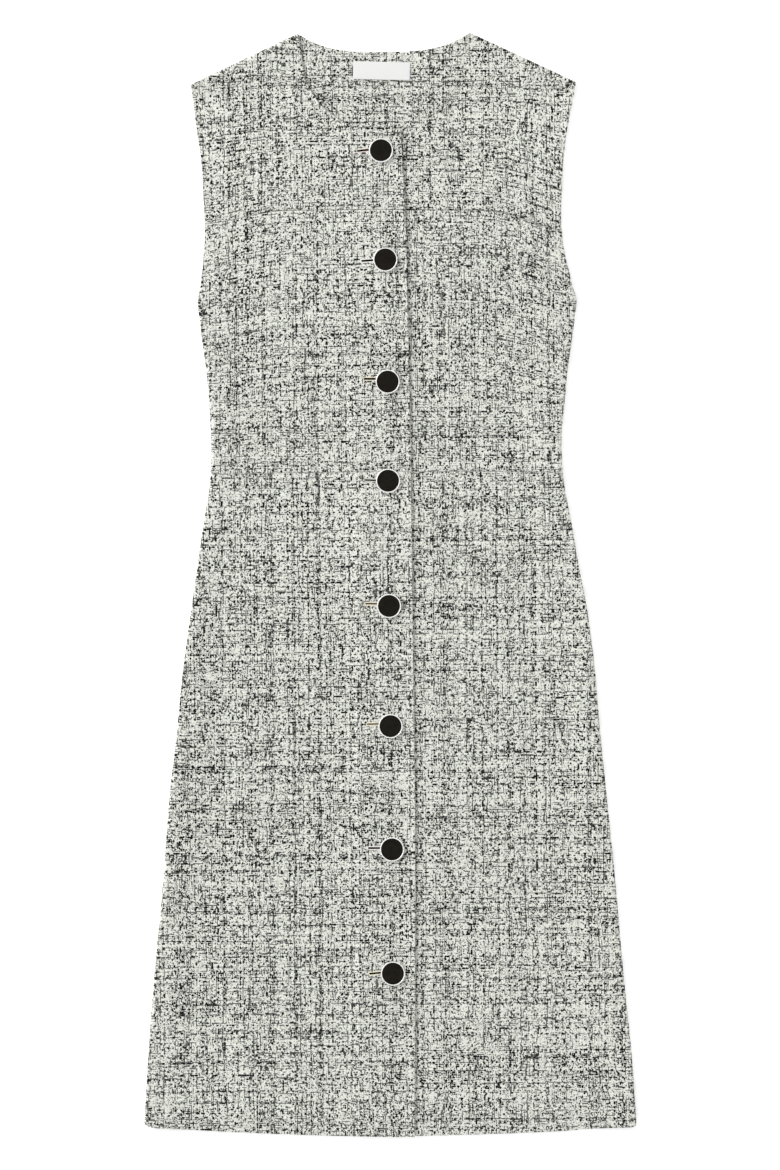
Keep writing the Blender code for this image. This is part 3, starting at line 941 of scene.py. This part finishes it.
# As EDGE_LINES and PITCH, for the label.
LABEL_LINES = (0.0, 0.03, 0.12, 0.25, 0.4, 0.7, 1.2)
LABEL_PITCH = 1.0 * MM


def neck_label(look):
    """Bare woven label on the inside of the back, a little raised in its middle."""
    low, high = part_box("neck_label")
    centre = [(a + b) / 2 for a, b in zip(low, high)]
    lines = [np.array(spaced(size, None, LABEL_LINES, LABEL_PITCH)) - size / 2
             for size in LABEL_SIZE]
    out, down = np.meshgrid(*lines)
    flat = np.stack([out, down], axis=-1)
    crown = (1 - (2 * out / LABEL_SIZE[0]) ** 2) * (1 - (2 * down / LABEL_SIZE[1]) ** 2)
    ripple = RIPPLE * np.sin(out / MM * RIPPLE_ALONG + RIPPLE_START)
    ripple *= np.cos(down / MM * RIPPLE_ACROSS)
    height = centre[2] + LABEL_CROWN * crown + ripple * np.sqrt(crown)
    cos, sin = math.cos(LABEL_TILT), math.sin(LABEL_TILT)
    laid = np.stack([centre[0] + out * cos + down * sin,
                     centre[1] + out * sin - down * cos, height], axis=-1)
    label = shell("neck_label_cloth", flat, laid, flat / MM, look, LABEL_WALL, LABEL_ROUND)
    stand_for(label, "neck_label")


# ---- Materials -----------------------------------------------------------------------------
class Graph:
    """Short calls that add shader nodes to one material."""

    def __init__(self, name):
        self.look = bpy.data.materials.new(name)
        self.look.use_nodes = True
        self.nodes = self.look.node_tree.nodes
        self.links = self.look.node_tree.links
        self.shader = self.nodes["Principled BSDF"]

    def put(self, socket, value):
        if isinstance(value, bpy.types.NodeSocket):
            self.links.new(value, socket)
        else:
            socket.default_value = value

    def math(self, operation, *values):
        made = self.nodes.new("ShaderNodeMath")
        made.operation = operation
        for socket, value in zip(made.inputs, values):
            self.put(socket, value)
        return made.outputs[0]

    def surface(self, name, value):
        """Sets one of the shader's own inputs."""
        self.put(self.shader.inputs[name], value)

    def vector(self, x, y):
        made = self.nodes.new("ShaderNodeCombineXYZ")
        self.put(made.inputs[0], x)
        self.put(made.inputs[1], y)
        return made.outputs[0]

    def cloth_place(self):
        """Place in the woven cloth, whole and as its distances along weft and warp."""
        made = self.nodes.new("ShaderNodeUVMap")
        made.uv_map = "cloth"
        parts = self.nodes.new("ShaderNodeSeparateXYZ")
        self.put(parts.inputs[0], made.outputs[0])
        return made.outputs[0], parts.outputs[0], parts.outputs[1]

    def object_place(self):
        return self.nodes.new("ShaderNodeTexCoord").outputs["Object"]

    def grain(self, scale, detail=3.0):
        """Fine noise that goes with the object."""
        return self.noise(self.object_place(), scale, detail, 0.6, "3D")

    def noise(self, vector, scale, detail, roughness=0.5, dimensions="2D"):
        made = self.nodes.new("ShaderNodeTexNoise")
        made.noise_dimensions = dimensions
        self.put(made.inputs["Vector"], vector)
        made.inputs["Scale"].default_value = scale
        made.inputs["Detail"].default_value = detail
        made.inputs["Roughness"].default_value = roughness
        return made.outputs[0]

    def white(self, vector):
        made = self.nodes.new("ShaderNodeTexWhiteNoise")
        made.noise_dimensions = "2D"
        self.put(made.inputs["Vector"], vector)
        return made.outputs[0]

    def step(self, value, low, high, to_low=0.0, to_high=1.0):
        made = self.nodes.new("ShaderNodeMapRange")
        made.interpolation_type = "SMOOTHSTEP"
        for socket, item in zip(made.inputs, (value, low, high, to_low, to_high)):
            self.put(socket, item)
        return made.outputs[0]

    def spread(self, value, to_low, to_high):
        """The usual range of a noise, stretched from `to_low` to `to_high`."""
        return self.step(value, 0.3, 0.7, to_low, to_high)

    def mix(self, factor, a, b):
        made = self.nodes.new("ShaderNodeMix")
        made.data_type = "FLOAT"
        self.put(made.inputs[0], factor)
        self.put(made.inputs[2], a)
        self.put(made.inputs[3], b)
        return made.outputs[0]

    def tint(self, value, red, green, blue):
        """A grey value as a colour, with each channel's share of it."""
        made = self.nodes.new("ShaderNodeCombineColor")
        for socket, share in zip(made.inputs, (red, green, blue)):
            self.put(socket, self.math("MULTIPLY", value, share))
        return made.outputs[0]

    def bump(self, height, distance):
        made = self.nodes.new("ShaderNodeBump")
        made.inputs["Strength"].default_value = 1.0
        made.inputs["Distance"].default_value = distance
        self.put(made.inputs["Height"], height)
        self.surface("Normal", made.outputs[0])


def tweed_material():
    """Plain weave of uneven yarns, off-white flecked with grey and black, and thick slubs."""
    g = Graph("tweed")
    here, u, v = g.cloth_place()
    turned_round = g.vector(v, u)

    def wander(along, at):
        return g.math("MULTIPLY_ADD", g.noise(at, WANDER_SCALE, 1.0), WANDER, along)

    x = g.math("DIVIDE", wander(u, here), YARN)
    y = g.math("DIVIDE", wander(v, turned_round), YARN)
    i, j = g.math("FLOOR", x), g.math("FLOOR", y)
    fx = g.math("SUBTRACT", g.math("SUBTRACT", x, i), 0.5)
    fy = g.math("SUBTRACT", g.math("SUBTRACT", y, j), 0.5)
    parity = g.math("FLOORED_MODULO", g.math("ADD", i, j), 2.0)
    sign = g.math("MULTIPLY_ADD", parity, -2.0, 1.0)
    dense = g.math("SUBTRACT", g.noise(here, PATCH_SCALE, 2.0, 0.6), 0.5)

    def yarn(index, along, shift):
        """Where a yarn is black, its tone over some length, and its fine flecks."""
        own = g.math("SUBTRACT", g.white(g.vector(index, shift)), 0.5)

        def run(noise_of_run, step):
            pace, offset, length, detail, own_part, patch_part = noise_of_run
            at = g.vector(g.math("MULTIPLY_ADD", index, pace, shift + offset),
                          g.math("DIVIDE", along, length / YARN))
            value = g.noise(at, 1.0, detail)
            value = g.math("MULTIPLY_ADD", own, own_part, value)
            value = g.math("MULTIPLY_ADD", dense, patch_part, value)
            return g.step(value, *step)

        tone = g.math("MULTIPLY", run(*LINE_RUN), run(*SLOW_RUN))
        return run(*BLACK_RUN), tone, run(*FLECK_RUN)

    black_warp, tone_warp, fleck_warp = yarn(i, y, WARP_START)
    black_weft, tone_weft, fleck_weft = yarn(j, x, WEFT_START)

    def slubs(across, along, shift):
        """Thick black stretches of yarns that stand on their own pitch."""
        at = g.math("DIVIDE", across, SLUB_PITCH)
        index = g.math("FLOOR", at)
        off = g.math("SUBTRACT", g.math("SUBTRACT", at, index), 0.5)
        own = g.math("SUBTRACT", g.white(g.vector(index, shift)), 0.5)
        value = g.noise(g.vector(g.math("MULTIPLY_ADD", index, SLUB_INDEX_STEP, shift),
                                 g.math("DIVIDE", along, SLUB_LENGTH)), 1.0, 1.0)
        value = g.math("MULTIPLY_ADD", own, SLUB_OWN, value)
        value = g.math("MULTIPLY_ADD", dense, SLUB_PATCH, value)
        value = g.math("MULTIPLY_ADD", g.math("MULTIPLY", off, off), SLUB_FALL, value)
        return g.step(value, *SLUB_STEP)

    slub = g.math("MAXIMUM", slubs(u, v, SLUB_STARTS[0]), slubs(v, u, SLUB_STARTS[1]))

    def height(up, across, along, black):
        """Height of a round yarn that goes over and under the others."""
        rise = g.math("MULTIPLY", up, g.math("COSINE", g.math("MULTIPLY", along, math.pi)))
        body = g.math("MULTIPLY_ADD", g.math("MULTIPLY", across, across), -4.0, 1.0)
        body = g.math("SQRT", g.math("MAXIMUM", body, 0.0))
        z = g.math("MULTIPLY_ADD", rise, YARN_RISE, body)
        return g.math("MULTIPLY_ADD", black, SLUB_RISE, z)

    z_warp = height(sign, fx, fy, black_warp)
    z_weft = height(g.math("MULTIPLY", sign, -1.0), fy, fx, black_weft)
    weft = g.math("GREATER_THAN", z_weft, z_warp)
    top = g.math("MAXIMUM", z_warp, z_weft)
    value = g.math("MULTIPLY", g.math("MULTIPLY", tone_warp, tone_weft),
                   g.mix(weft, fleck_warp, fleck_weft))
    value = g.math("MULTIPLY", value, TWEED_LIGHT)
    speck = g.math("SQRT", g.white(g.vector(i, j)))
    value = g.math("MULTIPLY", value, g.mix(speck, SPECK_LOW, 1.0))
    black = g.math("MAXIMUM", g.math("MAXIMUM", black_warp, black_weft), slub)
    value = g.mix(black, value, TWEED_BLACK)
    # painted shade: the colour darkens where the yarns lie low, in the hollows between them
    value = g.math("MULTIPLY", value, g.step(top, *HOLLOW_SHADE_STEP))
    hair = g.noise(here, HAIR_SCALE, 2.0, 0.7)
    value = g.math("MULTIPLY", value, g.spread(hair, *HAIR_RANGE))
    value = g.math("MINIMUM", value, TWEED_WHITE)
    g.surface("Base Color", g.tint(value, *TWEED_TINT))
    g.surface("Roughness", 0.95)
    g.surface("Specular IOR Level", 0.2)
    g.bump(g.math("MULTIPLY_ADD", hair, HAIR_RISE, top), TWEED_BUMP)
    return g.look


def metal_material():
    """Silver metal, a little worn."""
    g = Graph("button_metal")
    wear = g.grain(900.0)
    g.surface("Base Color", g.tint(g.spread(wear, 0.90, 0.96), 1.0, 0.995, 0.98))
    g.surface("Metallic", 0.45)
    g.surface("Roughness", g.spread(wear, 0.22, 0.34))
    return g.look


def enamel_material():
    """Near-black enamel, a little cloudy."""
    g = Graph("button_enamel")
    cloud = g.grain(260.0)
    g.surface("Base Color", g.tint(g.spread(cloud, 0.005, 0.009), 1.0, 0.80, 0.50))
    g.surface("Specular IOR Level", 0.09)
    g.surface("Roughness", g.spread(cloud, 0.16, 0.26))
    g.bump(cloud, 0.04 * MM)
    return g.look


def thread_material(name, tint, gloss=0.5):
    """Twisted thread. With no gloss and a near-black tint, it also makes the painted shadow
    inside the buttonholes.
    """
    g = Graph(f"thread_{name}")
    ply = g.grain(2600.0, 2.0)
    g.surface("Base Color", g.tint(g.spread(ply, 0.80, 1.08), *tint))
    g.surface("Roughness", 0.6)
    g.surface("Specular IOR Level", gloss)
    g.bump(ply, 0.1 * MM)
    return g.look


def label_material():
    """Close white satin weave."""
    g = Graph("label")
    rib = g.nodes.new("ShaderNodeTexWave")
    rib.wave_type = "BANDS"
    rib.bands_direction = "Y"
    g.put(rib.inputs["Vector"], g.object_place())
    rib.inputs["Scale"].default_value = 900.0
    rib.inputs["Distortion"].default_value = 1.0
    depth = rib.outputs[1]
    # The colour follows the ribs' height, so their low parts carry painted shade.
    g.surface("Base Color", g.tint(g.step(depth, 0.0, 1.0, 0.68, 0.74), 1.0, 1.0, 0.99))
    g.surface("Roughness", 0.55)
    g.bump(depth, 0.1 * MM)
    return g.look


# ---- Stage ---------------------------------------------------------------------------------
PHOTO_HEIGHT = 1170              # pixels
PHOTO_SCALE = 0.95 * MM          # metres of the laid dress to one photo pixel
PHOTO_TURN = math.radians(0.35)  # the dress stands this much turned in the photo
CAMERA_X = 0.00285
CAMERA_HEIGHT = 6.0
CAMERA_REACH = 20.0
SENSOR = 36.0
WHITE = (1.0, 1.0, 1.0, 1.0)
FLOOR_HALF = 12.0                # half the floor's side
FLOOR_DOWN = 0.2 * MM            # the floor lies this much under the dress
FLOOR_GLOW = 0.3
SKY = 0.80                       # brightness of the white surroundings
# Lights, which point at the middle of the dress: name, place, side and power in watts.
LIGHTS = (
    ("key", (-4.4, 2.6, 3.8), 2.6, 352.0),
    ("fill", (3.8, -2.4, 5.6), 5.2, 60.0),
)


def white_floor():
    g = Graph("floor")
    g.surface("Base Color", g.tint(g.spread(g.grain(40.0), 0.90, 0.92), 1.0, 1.0, 1.0))
    g.surface("Roughness", 0.9)
    g.surface("Emission Color", WHITE)
    g.surface("Emission Strength", FLOOR_GLOW)
    bm = bmesh.new()
    bmesh.ops.create_grid(bm, x_segments=8, y_segments=8, size=FLOOR_HALF)
    bmesh.ops.translate(bm, vec=(0, 0, -FLOOR_DOWN), verts=bm.verts)
    mesh = bpy.data.meshes.new("floor")
    bm.to_mesh(mesh)
    bm.free()
    return link("floor", mesh, g.look)


def stage():
    """The floor, the light and the photo's camera."""
    white_floor()

    world = bpy.data.worlds.new("studio")
    world.use_nodes = True
    background = world.node_tree.nodes["Background"]
    background.inputs["Color"].default_value = WHITE
    background.inputs["Strength"].default_value = SKY
    bpy.context.scene.world = world
    for name, place, size, power in LIGHTS:
        light = bpy.data.lights.new(name, "AREA")
        light.shape = "SQUARE"
        light.size = size
        light.energy = power
        lamp = bpy.data.objects.new(name, light)
        lamp.location = place
        lamp.rotation_euler = (-Vector(place)).to_track_quat("-Z", "Y").to_euler()
        bpy.context.scene.collection.objects.link(lamp)

    lens = bpy.data.cameras.new("camera")
    lens.sensor_width = SENSOR
    lens.lens = SENSOR * CAMERA_HEIGHT / (PHOTO_HEIGHT * PHOTO_SCALE)
    lens.clip_end = CAMERA_REACH
    camera = bpy.data.objects.new("camera", lens)
    camera.location = (CAMERA_X, 0.0, CAMERA_HEIGHT)
    camera.rotation_euler.z = -PHOTO_TURN
    bpy.context.scene.collection.objects.link(camera)
    bpy.context.scene.camera = camera
    bpy.context.scene.view_settings.view_transform = "Standard"


# ---- The dress -----------------------------------------------------------------------------
def build():
    """All pieces. A front rests on the back, and the right front on the left one as well."""
    tweed = tweed_material()
    back = back_pieces(tweed)
    left = front_pieces(LEFT, tweed)
    right = front_pieces(RIGHT, tweed)
    cut_buttonholes(right)
    for cut, piece in back.items():
        finish_cloth(piece, f"back_{cut}")
    for word, pieces in (("left", left), ("right", right)):
        for cut, piece in pieces.items():
            finish_cloth(piece, f"{word}_front_{cut}")
    stitch_buttonholes()
    buttons(metal_material(), enamel_material())
    neck_label(label_material())


build()
stage()
